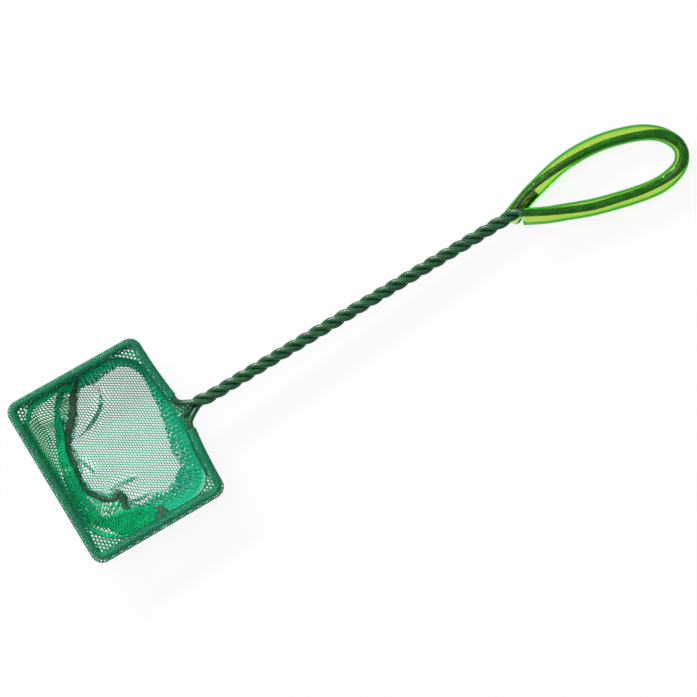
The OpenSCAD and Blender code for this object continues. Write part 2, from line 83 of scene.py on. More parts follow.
# Shares along, across and up, width and height of the tube's section, slant of its end, and the
# wire's place in the bore across and up
LOOP = [
    [0.035, -0.02, -0.25, 1.06, 0.88, 0.34, 0.9, 0.9],
    [0.081, 0.03, -0.25, 1.04, 0.9, 0.3, 0.95, 0.9],
    [0.128, 0.08, -0.22, 1, 0.92, 0, 0.97, 0.8],
    [0.18, 0.125, -0.12, 1, 0.95, 0, 0.97, 0.3],
    [0.256, 0.177, 0.06, 1, 1, 0, 0.75, -0.4],
    [0.385, 0.253, 0.18, 1, 1, 0, -0.1, -0.95],
    [0.526, 0.28, 0.18, 1, 1, 0, -0.57, -0.95],
    [0.667, 0.247, 0.18, 1, 1, 0, -0.65, -0.95],
    [0.795, 0.163, 0.18, 0.99, 1.01, 0, -0.65, -0.95],
    [0.897, 0.057, 0.2, 0.95, 1.04, 0, -0.5, -0.95],
    [0.974, -0.087, 0.23, 0.87, 1.1, 0, 0.1, -0.95],
    [1.019, -0.26, 0.25, 0.83, 1.13, 0, 0.6, -0.95],
    [1.031, -0.383, 0.25, 0.82, 1.14, 0, 0.85, -0.95],
    [1.023, -0.5, 0.25, 0.83, 1.13, 0, 0.85, -0.95],
    [0.987, -0.62, 0.23, 0.87, 1.1, 0, 0.4, -0.95],
    [0.923, -0.693, 0.2, 0.95, 1.04, 0, -0.1, -0.95],
    [0.833, -0.723, 0.18, 1, 1, 0, -0.5, -0.95],
    [0.718, -0.687, 0.18, 1, 1, 0, -0.45, -0.95],
    [0.577, -0.6, 0.18, 1, 1, 0, -0.35, -0.95],
    [0.442, -0.5, 0.2, 1, 1, 0, -0.2, -0.95],
    [0.308, -0.367, 0.28, 1, 0.98, 0, -0.4, -0.92],
    [0.192, -0.247, 0.41, 1, 0.93, 0, -0.75, -0.9],
    [0.083, -0.103, 0.5, 0.98, 0.88, 0, -0.95, -0.9]]
# Points of the loop's line: the first with wire in the bore, and the last with the cut end of
# strand_a, which lies on this side of the bore
LOOP_WIRE_FROM = 4
STUB_TO = 7
STUB_SIDE = -0.97

# Places along the handle
NEAR_X = MOUTH_D / 2
TWIST_START = NEAR_X + NECK_LEN
TWIST_END = TWIST_START + TWIST_LEN
TIP_X = TWIST_END + LOOP_LEN


def new_object(name, data):
    obj = bpy.data.objects.new(name, data)
    bpy.context.scene.collection.objects.link(obj)
    return obj


# Camera
def make_camera():
    data = bpy.data.cameras.new("camera")
    data.lens, data.sensor_width = 300, 36
    view_width = 302.5
    centre = Vector((108.95, -13.1, 8))
    distance = view_width * data.lens / data.sensor_width
    right = Vector((0.85768, -0.51420, 0))
    up = Vector((0.51420, 0.85768, 0))
    back = right.cross(up)
    turn = Matrix((right, up, back)).transposed().to_4x4()
    cam = new_object("camera", data)
    cam.matrix_world = Matrix.Translation((centre + back * distance) * MM) @ turn
    data.clip_start, data.clip_end = 0.1, 100
    bpy.context.scene.camera = cam


make_camera()


# Curves and paths
def unit(v):
    v = np.asarray(v, float)
    return v / np.linalg.norm(v, axis=-1, keepdims=True)


def smooth(points, steps):
    """Curve through all the points of a list"""
    p = np.asarray(points, float)
    before, after = 2 * p[0] - p[1], 2 * p[-1] - p[-2]
    q = np.vstack([before, p, after])
    t = np.arange(steps)[:, None] / steps
    out = []
    for a, b, c, d in zip(q[:-3], q[1:-2], q[2:-1], q[3:]):
        out.append((2 * b + (c - a) * t + (2 * a - 5 * b + 4 * c - d) * t ** 2
                    + (3 * b - a - 3 * c + d) * t ** 3) / 2)
    return np.vstack(out + [p[-1:]])


def steps_along(line):
    """How far along the line each of its points is"""
    return np.concatenate([[0], np.cumsum(np.linalg.norm(np.diff(line, axis=0), axis=1))])


def at_step(values, steps, s):
    """The line's values at distances s along it"""
    return np.stack([np.interp(s, steps, values[:, k]) for k in range(values.shape[1])], axis=-1)


def even(path, count):
    """The path with its points at even distances"""
    steps = steps_along(path)
    return at_step(path, steps, np.linspace(0, steps[-1], count))


def length(path):
    return float(np.linalg.norm(np.diff(path, axis=0), axis=1).sum())


def lay(points):
    """The wire frame is drawn flat and then laid with its tip down on the table"""
    p = np.asarray(points, float)
    c, s = math.cos(FRAME_SLOPE), math.sin(FRAME_SLOPE)
    x = TIP_X - (TIP_X - p[..., 0]) * c + p[..., 2] * s
    z = TIP_H + (TIP_X - p[..., 0]) * s + p[..., 2] * c
    return np.stack([x, p[..., 1], z], axis=-1)


def raised(plan, z):
    """Points seen from above, with their heights"""
    return np.concatenate([plan, z[..., None]], axis=-1)


def wire_z(plan):
    """Height of the wire frame's middle over points seen from above"""
    return lay(raised(plan, np.zeros(plan.shape[:-1])))[..., 2]


# Distance between points on the lines round the mouth, and steps in a corner
LINE_STEP = 0.6
ARC_RINGS = 12


def corner_arc(a, b, c, r):
    """Arc that rounds the corner b between a and c"""
    a, b, c = (np.asarray(v, float) for v in (a, b, c))
    u, w = unit(a - b), unit(c - b)
    half = math.acos(np.dot(u, w)) / 2
    m = b + unit(u + w) * r / math.sin(half)
    s, e = b + u * r / math.tan(half) - m, b + w * r / math.tan(half) - m
    g0 = math.atan2(s[1], s[0])
    turn = (math.atan2(e[1], e[0]) - g0 + math.pi) % (2 * math.pi) - math.pi
    angles = [g0 + turn * i / ARC_RINGS for i in range(ARC_RINGS + 1)]
    return [m + r * np.array([math.cos(g), math.sin(g)]) for g in angles]


FAR_LEFT = np.array([-NEAR_X, FAR_SHIFT + FAR_W / 2])
FAR_RIGHT = np.array([-NEAR_X, FAR_SHIFT - FAR_W / 2])
NEAR_LEFT = np.array([NEAR_X, NEAR_SHIFT + NEAR_W / 2])
NEAR_RIGHT = np.array([NEAR_X, NEAR_SHIFT - NEAR_W / 2])
NECK_X = NEAR_X + NECK_A[0][0] * NECK_LEN


def mouth_line(inset, radii):
    """Line round the mouth, inset from the wire's middle, as three stretches with shared ends:
    neck to seam on the left, seam to seam round the far side, seam to neck on the right"""
    corners = (FAR_LEFT, FAR_RIGHT, NEAR_LEFT, NEAR_RIGHT)
    fl, fr, nl, nr = (p - np.sign(p) * inset for p in corners)

    def bow(corner, side):
        neck = np.array([NECK_X - inset, side * NECK_HALF])
        return smooth([corner + (neck - corner) * [s[1], s[0]] for s in BOW], 6)

    def at_seam(far, near):
        return far + (near - far) * (SEAM_X - far[0]) / (near[0] - far[0])

    def stretch(*parts):
        line = np.vstack(parts)
        return even(line, round(length(line) / LINE_STEP) + 1)

    def clear(line, corner, radius):
        return line[np.linalg.norm(line - corner, axis=1) > radius * 1.05]

    bow_l, bow_r = clear(bow(nl, 1), nl, radii[0]), clear(bow(nr, -1), nr, radii[3])
    sl, sr = at_seam(fl, nl), at_seam(fr, nr)
    arc_nl = corner_arc(bow_l[0], nl, fl, radii[0])
    arc_fl = corner_arc(nl, fl, fr, radii[1])
    arc_fr = corner_arc(fl, fr, nr, radii[2])
    arc_nr = corner_arc(fr, nr, bow_r[0], radii[3])
    return (stretch(bow_l[::-1], arc_nl, sl), stretch(sl, arc_fl, arc_fr, sr),
            stretch(sr, arc_nr, bow_r))


LEFT, FAR, RIGHT = mouth_line(0, [CORNER_R] * 4)
HOOP = np.vstack([LEFT, FAR[1:], RIGHT[1:]])
HOOP = np.column_stack([HOOP, np.zeros(len(HOOP))])


def twist_points(i):
    """One strand of the twist, whose middle starts a little to the side at the neck"""
    steps = round(TWIST_LEN / TWIST_PITCH * TURN_RINGS)
    along = TWIST_LEN * np.arange(steps + 1) / steps
    g = 2 * math.pi * (START_TURN - STRAND_TURNS[i] + along / TWIST_PITCH)
    s = np.minimum(1, along / NECK_LEN)
    centre = NECK_SHIFT * (1 - s * s * (3 - 2 * s))
    return np.column_stack([TWIST_START + along, centre + TWIST_R * np.cos(g),
                            TWIST_R * np.sin(g)])


LOOP_SIZES = [LOOP_LEN, LOOP_W, TUBE_OD, TUBE_OD, TUBE_OD, TUBE_OD, 1, 1]
LOOP_ROWS = smooth(np.array(LOOP) * LOOP_SIZES, 2)
LOOP_LINE = LOOP_ROWS[:, :3] + [TWIST_END, 0, 0]
LOOP_BORES = LOOP_ROWS[:, 3:5] - 2 * TUBE_WALL


def headings(path):
    """Which way the path goes at each of its points"""
    p = np.asarray(path, float)
    out = np.empty_like(p)
    out[1:-1] = p[2:] - p[:-2]
    out[0], out[-1] = p[1] - p[0], p[-1] - p[-2]
    return unit(out)


def sides_of(path):
    """The level way to the path's left at each of its points, and its headings"""
    t = headings(path)
    return unit(np.cross([0.0, 0.0, 1.0], t)), t


LOOP_SIDES, _ = sides_of(LOOP_LINE)


def bore_point(i, across, up):
    """Middle of a wire in the bore, as shares of its room there"""
    wide, tall = (LOOP_BORES[i] - WIRE_D) / 2
    rise = np.array([0, 0, up * math.sqrt(1 - across ** 2) * tall])
    return LOOP_LINE[i] + LOOP_SIDES[i] * across * wide + rise


LOOP_WIRE = [bore_point(i, LOOP_ROWS[i, 6], LOOP_ROWS[i, 7])
             for i in range(LOOP_WIRE_FROM, len(LOOP_ROWS))]
STUB = [bore_point(i, STUB_SIDE, LOOP_ROWS[i, 7]) for i in range(LOOP_WIRE_FROM, STUB_TO + 1)]


def strand(i, neck, base, end):
    """The whole line of a strand: neck, twist, and the way on into the loop"""
    neck = np.array(neck) * [NECK_LEN, NECK_HALF, WIRE_D] + [NEAR_X, 0, 0]
    base = np.array(base) * WIRE_D + [TWIST_END, 0, 0]
    twist = twist_points(i)
    head = smooth(np.vstack([neck, twist[:2]]), 2)
    tail = smooth(np.vstack([twist[-2:], base, end]), 2)
    return np.vstack([head, twist[2:-2], tail])


STRAND_A = strand(0, NECK_A, BASE_A, STUB)
STRAND_B = strand(1, NECK_B, BASE_B, [LOOP_WIRE[-1]])
STRAND_C = strand(2, NECK_C, BASE_C, [LOOP_WIRE[0]])


def run_on(path):
    """The path with a point more at each end, straight on"""
    p = np.asarray(path, float)
    return np.vstack([2 * p[0] - p[1], p, 2 * p[-1] - p[-2]])


def joined(before, path, after, steps=4):
    """A fine path whose ends point on to the given neighbours. Its first and last points lie
    beyond it and only steer its ends"""
    first = run_on(path)[0] if before is None else before
    last = run_on(path)[-1] if after is None else after
    fine = smooth(np.vstack([first, path, last]), steps)
    return fine[steps - 1:len(fine) - steps + 1]


# Meshes
def new_piece(name, verts, faces, material):
    mesh = bpy.data.meshes.new(name)
    mesh.from_pydata((np.asarray(verts) * MM).tolist(), [], faces)
    mesh.validate()
    mesh.polygons.foreach_set("use_smooth", [True] * len(mesh.polygons))
    mesh.materials.append(material)
    return new_object(name, mesh)


def wall(start, rings, sides, flip=False):
    """Faces between rings of points"""
    i = np.arange(rings - 1)[:, None] * sides
    k = np.arange(sides)[None]
    a = start + i + k
    b = start + i + (k + 1) % sides
    quads = np.stack([a, b, b + sides, a + sides], axis=-1).reshape(-1, 4)
    return quads[:, ::-1].tolist() if flip else quads.tolist()


def capped(start, rings, sides, flip=False):
    """The same faces with a cap at each end"""
    first = list(range(start, start + sides))
    last = [(rings - 1) * sides + k for k in first]
    caps = [first, last[::-1]] if flip else [first[::-1], last]
    return wall(start, rings, sides, flip) + caps


def section(path, widths, heights, sides, slants=None):
    """Rings across the path; its first and last points only steer the ends"""
    n, t = sides_of(path)
    b = np.cross(t, n)
    g = 2 * math.pi * (np.arange(sides) + 0.5) / sides
    w = np.broadcast_to(widths, len(path))[:, None, None] / 2
    h = np.broadcast_to(heights, len(path))[:, None, None] / 2
    sl = np.zeros(len(path)) if slants is None else np.asarray(slants)
    rings = (path[:, None] + n[:, None] * w * np.cos(g)[None, :, None]
             + b[:, None] * h * np.sin(g)[None, :, None]
             + t[:, None] * sl[:, None, None] * np.sin(g)[None, :, None])
    return rings[1:-1].reshape(-1, 3)


def bar(name, path, d, sides, material):
    verts = section(path, d, d, sides)
    return new_piece(name, verts, capped(0, len(path) - 2, sides), material)


def pipe(name, path, outer, bore, sides, material, slants=None, lip=0.0):
    """Hollow tube, whose lips stand out a little at its ends"""
    n = len(path) - 2
    w_out, h_out = (np.broadcast_to(v, len(path)) for v in outer)
    w_in, h_in = (np.broadcast_to(v, len(path)) for v in bore)
    out = section(path, w_out, h_out, sides, slants)
    inn = section(path, w_in, h_in, sides, slants)
    mid_w, mid_h = (w_out + w_in) / 2, (h_out + h_in) / 2
    t = headings(path)
    ends = section(path, mid_w, mid_h, sides, slants).reshape(n, sides, 3)
    lip_a = ends[0] - t[1] * lip
    lip_b = ends[-1] + t[-2] * lip
    verts = np.vstack([out, inn, lip_a, lip_b])
    at_in, at_a, at_b = n * sides, 2 * n * sides, 2 * n * sides + sides
    faces = wall(0, n, sides) + wall(at_in, n, sides, True)
    for k in range(sides):
        j = (k + 1) % sides
        faces.append([at_a + k, at_a + j, j, k])
        faces.append([at_in + k, at_in + j, at_a + j, at_a + k])
        o, i = (n - 1) * sides, at_in + (n - 1) * sides
        faces.append([o + k, o + j, at_b + j, at_b + k])
        faces.append([at_b + k, at_b + j, i + j, i + k])
    return new_piece(name, verts, faces, material)


class Strands:
    """Many round strands gathered in one mesh"""

    def __init__(self, sides):
        self.sides = sides
        self.verts, self.faces, self.count = [], [], 0

    def add(self, points, normals, radius):
        t = headings(points)
        up = unit(normals - t * np.sum(normals * t, axis=1, keepdims=True))
        across = np.cross(t, up)
        g = 2 * math.pi * np.arange(self.sides) / self.sides
        r = np.broadcast_to(radius, len(points))[:, None, None]
        rings = points[:, None] + r * (up[:, None] * np.cos(g)[None, :, None]
                                       + across[:, None] * np.sin(g)[None, :, None])
        self.add_rings(rings, True)

    def add_rings(self, rings, flip=False):
        n, sides = rings.shape[:2]
        self.verts.append(rings.reshape(-1, 3))
        self.faces += capped(self.count, n, sides, flip)
        self.count += n * sides

    def piece(self, name, material):
        return new_piece(name, np.vstack(self.verts), self.faces, material)


# Materials
def srgb(*values):
    """Linear colour of a screen colour"""
    shares = [v / 255 / 12.92 if v <= 10 else ((v / 255 + 0.055) / 1.055) ** 2.4 for v in values]
    return tuple(shares) + (1,)


class Nodes:
    """Nodes of a material or the world"""

    def __init__(self, owner):
        owner.use_nodes = True
        self.nodes, self.links = owner.node_tree.nodes, owner.node_tree.links

    def new(self, kind, *in_order, operation=None, **named):
        node = self.nodes.new("ShaderNode" + kind)
        if operation:
            node.operation = operation
        return self.fill(node, *in_order, **named)

    def fill(self, node, *in_order, **named):
        """Fills inputs, in order or by name with _ for a space, with values, outputs, or nodes
        that stand for their first output"""
        pairs = list(zip(node.inputs, in_order))
        pairs += [(node.inputs[name.replace("_", " ")], value) for name, value in named.items()]
        for socket, value in pairs:
            if isinstance(value, bpy.types.Node):
                value = value.outputs[0]
            if isinstance(value, bpy.types.NodeSocket):
                self.links.new(value, socket)
            else:
                socket.default_value = value
        return node


def new_material(name):
    m = bpy.data.materials.new(name)
    tree = Nodes(m)
    return m, tree, tree.nodes["Principled BSDF"]


def noise(tree, scale, detail, stretch=None):
    place = tree.new("TexCoord").outputs["Object"]
    if stretch:
        place = tree.new("Mapping", Vector=place, Scale=stretch)
    return tree.new("TexNoise", Vector=place, Scale=scale, Detail=detail)


def colour_by(tree, factor, *stops):
    ramp = tree.new("ValToRGB", Fac=factor)
    for element, stop in zip(ramp.color_ramp.elements, stops):
        element.position, element.color = stop
    return ramp


def bump(tree, bsdf, height, strength, distance):
    tree.fill(bsdf, Normal=tree.new("Bump", Height=height, Strength=strength, Distance=distance))


def coating_material(name, dark, light):
    """Glossy plastic, a little uneven in colour, height and gloss"""
    m, tree, bsdf = new_material(name)
    grain = noise(tree, 260, 2)
    rough = tree.new("MapRange", Value=noise(tree, 900, 2), To_Min=0.1, To_Max=0.18)
    tree.fill(bsdf, Base_Color=colour_by(tree, grain, (0.3, dark), (0.7, light)),
              Roughness=rough, Specular_IOR_Level=0.45)
    bump(tree, bsdf, grain, 0.25, 0.0002)
    return m


def steel_material():
    m, tree, bsdf = new_material("cut_steel")
    grain = noise(tree, 2500, 2, (1, 6, 1))
    col = colour_by(tree, grain, (0.3, srgb(150, 150, 145)), (0.7, srgb(190, 190, 186)))
    tree.fill(bsdf, Base_Color=col, Metallic=1, Roughness=0.35)
    bump(tree, bsdf, grain, 0.3, 0.00003)
    return m


# The tube's index of refraction, at its outside, where it is low so that the wire looks no wider
# than in the photo, and at its bore
CLEAR_IOR = 1.22
WET_IOR = 1.01
# Where its colour turns to the edges' deeper green, by how far the wall is turned away
EDGE_FROM, EDGE_TO = 0.22, 0.55


def tube_material():
    m, tree, bsdf = new_material("clear_lime_tube")
    grain = noise(tree, 60, 2)
    col = colour_by(tree, grain, (0.3, srgb(232, 240, 170)), (0.7, srgb(240, 244, 190)))
    # A look along the wall goes through more plastic, so the edges are a deeper green
    facing = tree.new("LayerWeight", Blend=0.5).outputs["Facing"]
    edge = tree.new("MapRange", Value=facing, From_Min=EDGE_FROM, From_Max=EDGE_TO)
    edge.interpolation_type = "SMOOTHSTEP"
    tint = tree.new("MixRGB", Fac=edge, Color1=col, Color2=srgb(84, 206, 118))
    tree.fill(bsdf, Base_Color=tint, Transmission_Weight=1, Roughness=0.03, IOR=CLEAR_IOR)
    # The bore is taken as wet on the wire, so light crosses it nearly without bending
    bore = tree.new("Attribute")
    bore.attribute_name = "bore"
    bend = tree.new("MapRange", Value=bore.outputs["Fac"], To_Min=CLEAR_IOR, To_Max=WET_IOR)
    tree.fill(bsdf, IOR=bend)
    absorb = tree.new("VolumeAbsorption", Color=(0.66, 0.9, 0.4, 1), Density=620)
    tree.fill(tree.nodes["Material Output"], Volume=absorb)
    bump(tree, bsdf, grain, 0.1, 0.0002)
    return m


# Scale of the yarn's grain, and how much wider its patches of colour are
YARN_GRAIN = 700
YARN_PATCHES = 12


def yarn_material(name, dark, light, shine=0.15, soft=0.0):
    m, tree, bsdf = new_material(name)
    grain = noise(tree, YARN_GRAIN, 3)
    patches = noise(tree, YARN_GRAIN / YARN_PATCHES, 2)
    part = tree.new("Math", patches, 0.4, operation="MULTIPLY")
    mix = tree.new("Math", grain, 0.6, part, operation="MULTIPLY_ADD")
    tree.fill(bsdf, Base_Color=colour_by(tree, mix, (0.36, dark), (0.64, light)),
              Roughness=0.55, Specular_IOR_Level=shine, Subsurface_Weight=soft,
              Subsurface_Radius=(0.3, 1, 0.7), Subsurface_Scale=0.0008)
    bump(tree, bsdf, grain, 0.3, 0.00005)
    return m


COATING = coating_material("green_wire_coating", srgb(32, 74, 48), srgb(38, 100, 60))
# Little light gets through the tube to the wire, so its coating there is a lighter, bluer copy:
# painted light that makes up for the light the tube holds back
LOOP_COATING_PAINTED_LIGHT = coating_material("loop_wire_coating_painted_light", srgb(52, 114, 100), srgb(62, 138, 122))
STEEL = steel_material()
TUBE = tube_material()
NEAR_NET = yarn_material("near_netting", srgb(16, 156, 116), srgb(26, 190, 140), soft=0.6)
FAR_NET = yarn_material("far_netting", srgb(2, 166, 104), srgb(10, 202, 132), soft=0.6)
HEM = yarn_material("hem_netting", srgb(0, 122, 84), srgb(12, 164, 112), shine=0.5)
SEAM = yarn_material("seam_thread", srgb(46, 88, 66), srgb(80, 120, 92))
HEM_THREAD = yarn_material("hem_thread", srgb(18, 92, 66), srgb(34, 122, 90))


# Wire: a coating and a steel core for each stretch
WIRE_SIDES = 20
CORE_SIDES = 12


def finish_piece(obj, slot, *nodes):
    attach(obj, "root")
    if nodes:
        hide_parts(*nodes)
    return obj


def make_wires():
    """Each stretch points on to its neighbours, so that they meet without a kink"""
    loop = np.array(LOOP_WIRE)
    stretches = {
        "hoop": np.vstack([STRAND_A[1], HOOP, STRAND_C[1]]),
        "strand_a": joined(HOOP[5], STRAND_A, None),
        "strand_b": joined(None, STRAND_B, loop[-2]),
        "strand_c": joined(HOOP[-6], STRAND_C, loop[1]),
        "loop": joined(STRAND_C[-2], loop, STRAND_B[-2])}
    for name, path in stretches.items():
        laid = lay(path)
        # The loop's wire, inside the tube, takes the lighter copy of the coating with painted light
        shell = pipe(name + "_plastic", laid, (WIRE_D, WIRE_D), (CORE_D, CORE_D), WIRE_SIDES,
                     LOOP_COATING_PAINTED_LIGHT if name == "loop" else COATING)
        finish_piece(shell, "wire_coating", name + "_coating")
        inner = bar(name + "_steel", laid, CORE_D, CORE_SIDES, STEEL)
        finish_piece(inner, "steel_wire", name + "_core")


make_wires()


# Grip tube: how much wider its bore is, to stay clear of the wire that leans on it, the sides of
# its section, and how far its lips stand out
BORE_PLAY = 0.1
TUBE_SIDES = 36
TUBE_LIP = 0.12


def make_tube():
    rows = joined(None, np.column_stack([LOOP_LINE, LOOP_ROWS[:, 3:6]]), None)
    path = lay(rows[:, :3])
    w, h, slant = rows[:, 3], rows[:, 4], rows[:, 5]
    bore = (w - 2 * TUBE_WALL + BORE_PLAY, h - 2 * TUBE_WALL + BORE_PLAY)
    tube = pipe("clear_tube", path, (w, h), bore, TUBE_SIDES, TUBE, slant, TUBE_LIP)
    inside = tube.data.attributes.new("bore", "FLOAT", "FACE")
    wall_faces = (len(path) - 3) * TUBE_SIDES
    for i in range(wall_faces, 2 * wall_faces):
        inside.data[i].value = 1
    finish_piece(tube, "grip_tube", "grip_tube")


make_tube()

# Netting: strands side by side that lean to one neighbour and then to the other, so that two at
# a time lie together as a pillar. Distance between the pillars of a row, height of a row,
# thickness of a strand, and half the distance between a pillar's two strands
GAUGE = 1.23
COURSE = 1.075
STRAND_D = 0.36
PILLAR_HALF = 0.1
LEAN = GAUGE / 4 - PILLAR_HALF
# Where a pillar starts and ends, as shares of the row's height
MARKS = (0, 0.5)
YARN_SIDES = 4


def knit(net, surface, low, high, grain, thick=STRAND_D, pitch=1.0):
    """Adds netting on a surface and gives its flat area. surface(q) takes flat points and gives
    their places and which of them are on the cloth. The mesh is turned by grain in degrees"""
    gauge, course = GAUGE * pitch / 2, COURSE * pitch
    low, high = np.array(low, float), np.array(high, float)
    mid, reach = (low + high) / 2, np.linalg.norm(high - low) / 2
    g = math.radians(grain)
    a, b = np.array([math.cos(g), math.sin(g)]), np.array([-math.sin(g), math.cos(g)])
    wales = np.arange(-int(reach / gauge), int(reach / gauge) + 1)
    rows = np.arange(-int(reach / course), int(reach / course) + 1)
    j, k, m = np.meshgrid(wales, rows, np.arange(len(MARKS)), indexing="ij")
    lean = np.where((j + k) % 2 == 0, 1, -1)
    x = (j * gauge + lean * LEAN * pitch).reshape(len(wales), -1)
    y = ((k + np.array(MARKS)[m]) * course).reshape(len(wales), -1)
    q = mid + x[..., None] * a + y[..., None] * b
    p, ok = surface(q)
    eps = 0.05
    pa, _ = surface(q + a * eps)
    pb, _ = surface(q + b * eps)
    normal = np.cross(pa - p, pb - p)
    normal[np.linalg.norm(normal, axis=-1) < 1e-9] = (0, 0, 1)
    normal = unit(normal)
    thickness = thick(q) if callable(thick) else thick
    radius = np.broadcast_to(thickness, q.shape[:-1]) / 2
    for w in range(len(wales)):
        at = np.flatnonzero(ok[w])
        if not len(at):
            continue
        for run in np.split(at, np.flatnonzero(np.diff(at) > 1) + 1):
            if len(run) > 2:
                net.add(p[w, run], normal[w, run], radius[w, run])
    return float(ok.sum() / len(MARKS) * gauge * course)


# Hem: netting folded round the wire, whose two layers are sewn together inside it. In the
# corners the sewn line cuts across, and the netting beyond it is stretched open as a web.
# How far inside the wire's middle the layers meet, the radius of that tunnel line's corners, and
# the radii of the sewn line, from the near left corner round the far side
HEM_INSET = 2.1
TUNNEL_R = 1.3
SEWN_RADII = (14, 9, 17, 10)
# Width of the hem laid flat, and for the hem and the webs the mesh's scale, the thickness of its
# strands and how far it is turned
HEM_FLAT_W = 12
HEM_PITCH = 0.8
HEM_STRAND_D = 0.4
HEM_GRAIN = 12
WEB_PITCH = 1.35
WEB_STRAND_D = 0.8
WEB_GRAIN = 20
# How far a web goes on under the hem, and how far it lies under the wire's middle
WEB_OVERLAP = 0.9
WEB_DROP = 0.3
# How far the hem stands off the wire outwards, as shares of its radius: everywhere, and where
# the mouth's far and right sides let it sag
SLACK_SHARE = 0.1
FAR_SLACK_SHARE = 0.14
RIGHT_SLACK_SHARE = 0.45
TUNNEL = mouth_line(HEM_INSET, [TUNNEL_R] * 4)
SEWN = mouth_line(HEM_INSET, SEWN_RADII)


def ray_hits(starts, ways, line, limit):
    """How far along each ray it meets a line, or what its neighbours say where it meets none"""
    a, b = line[:-1], line[1:]
    e = b - a
    out = np.full(len(starts), np.nan)
    for i, (p, d) in enumerate(zip(starts, ways)):
        det = d[1] * e[:, 0] - d[0] * e[:, 1]
        det = np.where(abs(det) < 1e-9, 1e-9, det)
        v = a - p
        f = (v[:, 1] * e[:, 0] - v[:, 0] * e[:, 1]) / det
        s = (d[0] * v[:, 1] - d[1] * v[:, 0]) / det
        hit = f[(s >= -1e-6) & (s <= 1 + 1e-6) & (f > 0) & (f < limit)]
        if len(hit):
            out[i] = hit.min()
    good = np.flatnonzero(~np.isnan(out))
    return np.interp(np.arange(len(out)), good, out[good])


def inside_outline(plan, outline):
    """Whether points lie inside a closed outline"""
    x, y = plan[..., 0], plan[..., 1]
    odd = np.zeros(x.shape, bool)
    for (x0, y0), (x1, y1) in zip(outline, np.roll(outline, -1, axis=0)):
        if y0 == y1:
            continue
        cross = (y0 > y) != (y1 > y)
        odd ^= cross & (x < (x1 - x0) * (y - y0) / (y1 - y0) + x0)
    return odd


def left_of(line):
    """The way to a flat line's left at each of its points"""
    t = headings(line)
    return np.column_stack([-t[:, 1], t[:, 0]])


# The netting between the wires at the neck is folded back on itself: how far out it reaches, how
# far it goes on under the hem and down under the wires, and how far its lower layer hangs
NECK_REACH = 4.6
NECK_OVERLAP = 1
UNDER_WIRE = 1.3
LOWER_LAYER = 0.8
NECK_FLAT_W = 17
NECK_GRAIN = 60


def make_hem(name, node, wire, corners, side=0):
    """Hem on one stretch of the wire, the webs of its corners, and netting on its side of the
    neck"""
    steps = steps_along(wire)
    total = steps[-1]
    way = left_of(wire)
    gaps = ray_hits(wire, way, np.vstack(TUNNEL), 8)
    radius = HEM_D / 2 - STRAND_D / 2

    def sleeve(q):
        """Along the wire, and round it from one layer at the tunnel line to the other"""
        s, t = q[..., 0], q[..., 1]
        c, inward = at_step(wire, steps, s), at_step(way, steps, s)
        gap = np.interp(s, steps, gaps)
        half = np.arccos(np.clip(radius / gap, 0, 1))
        flank = np.sqrt(np.maximum(gap ** 2 - radius ** 2, 0))
        arc = radius * 2 * (math.pi - half)
        d = t / HEM_FLAT_W * (2 * flank + arc)
        g = half + np.clip(d - flank, 0, arc) / radius
        up = np.clip(d / flank, 0, 1)
        down = np.clip((d - flank - arc) / flank, 0, 1)
        tip = radius * np.cos(half)
        slack = (1 + SLACK_SHARE + FAR_SLACK_SHARE * np.clip(inward[..., 0], 0, 1)
                 + RIGHT_SLACK_SHARE * np.clip(inward[..., 1], 0, 1))
        across = radius * np.cos(g)
        x = np.where(across < 0, across * slack, across) + (gap - tip) * (1 - up + down)
        z = radius * np.sin(g) * (up - down)
        plan = c + inward * x[..., None]
        ok = (s >= 0) & (s <= total) & (t >= 0) & (t <= HEM_FLAT_W)
        return raised(plan, wire_z(c) + z), ok

    outer = np.vstack(mouth_line(HEM_INSET - WEB_OVERLAP, [TUNNEL_R + WEB_OVERLAP] * 4))
    inner = np.vstack(mouth_line(HEM_INSET + WEB_OVERLAP / 3, SEWN_RADII))

    def web(q):
        return raised(q, wire_z(q) - WEB_DROP), inside_outline(q, outer) & ~inside_outline(q, inner)

    def bridge(q):
        y, t = q[..., 0], q[..., 1]
        near = NECK_X - HEM_INSET - NECK_OVERLAP
        fold = NECK_X + NECK_REACH * np.clip(1 - abs(y) / NECK_HALF, 0, 1)
        deep = fold - near
        x = np.where(t < deep, near + t, 2 * fold - near - t)
        under = np.clip((x - near) / (HEM_INSET + NECK_OVERLAP), 0, 1) * UNDER_WIRE
        hang = LOWER_LAYER * np.clip((t - deep) / deep, 0, 1)
        z = wire_z(np.stack([x, y], axis=-1)) - WEB_DROP - under - hang
        ok = (y * side >= 0) & (abs(y) <= NECK_HALF + 0.6) & (t >= 0) & (t <= 2 * deep)
        return np.stack([x, y, z], axis=-1), ok

    net = Strands(YARN_SIDES)
    area = knit(net, sleeve, (0, 0), (total, HEM_FLAT_W), HEM_GRAIN, HEM_STRAND_D, HEM_PITCH)
    if side:
        area += knit(net, bridge, (-NECK_HALF - 1, 0), (NECK_HALF + 1, NECK_FLAT_W), NECK_GRAIN,
                     HEM_STRAND_D, HEM_PITCH)
    for corner in corners:
        low = np.minimum(corner, corner * 0.4)
        high = np.maximum(corner, corner * 0.4)
        area += knit(net, web, low, high, WEB_GRAIN, WEB_STRAND_D, WEB_PITCH)
    hem = net.piece(name, HEM)
    finish_piece(hem, "hem", node)


make_hem("left_hem_net", "hem_near_left", LEFT, [NEAR_LEFT], 1)
make_hem("far_hem_net", "hem_far", FAR, [FAR_LEFT, FAR_RIGHT])
make_hem("right_hem_net", "hem_near_right", RIGHT, [NEAR_RIGHT], -1)

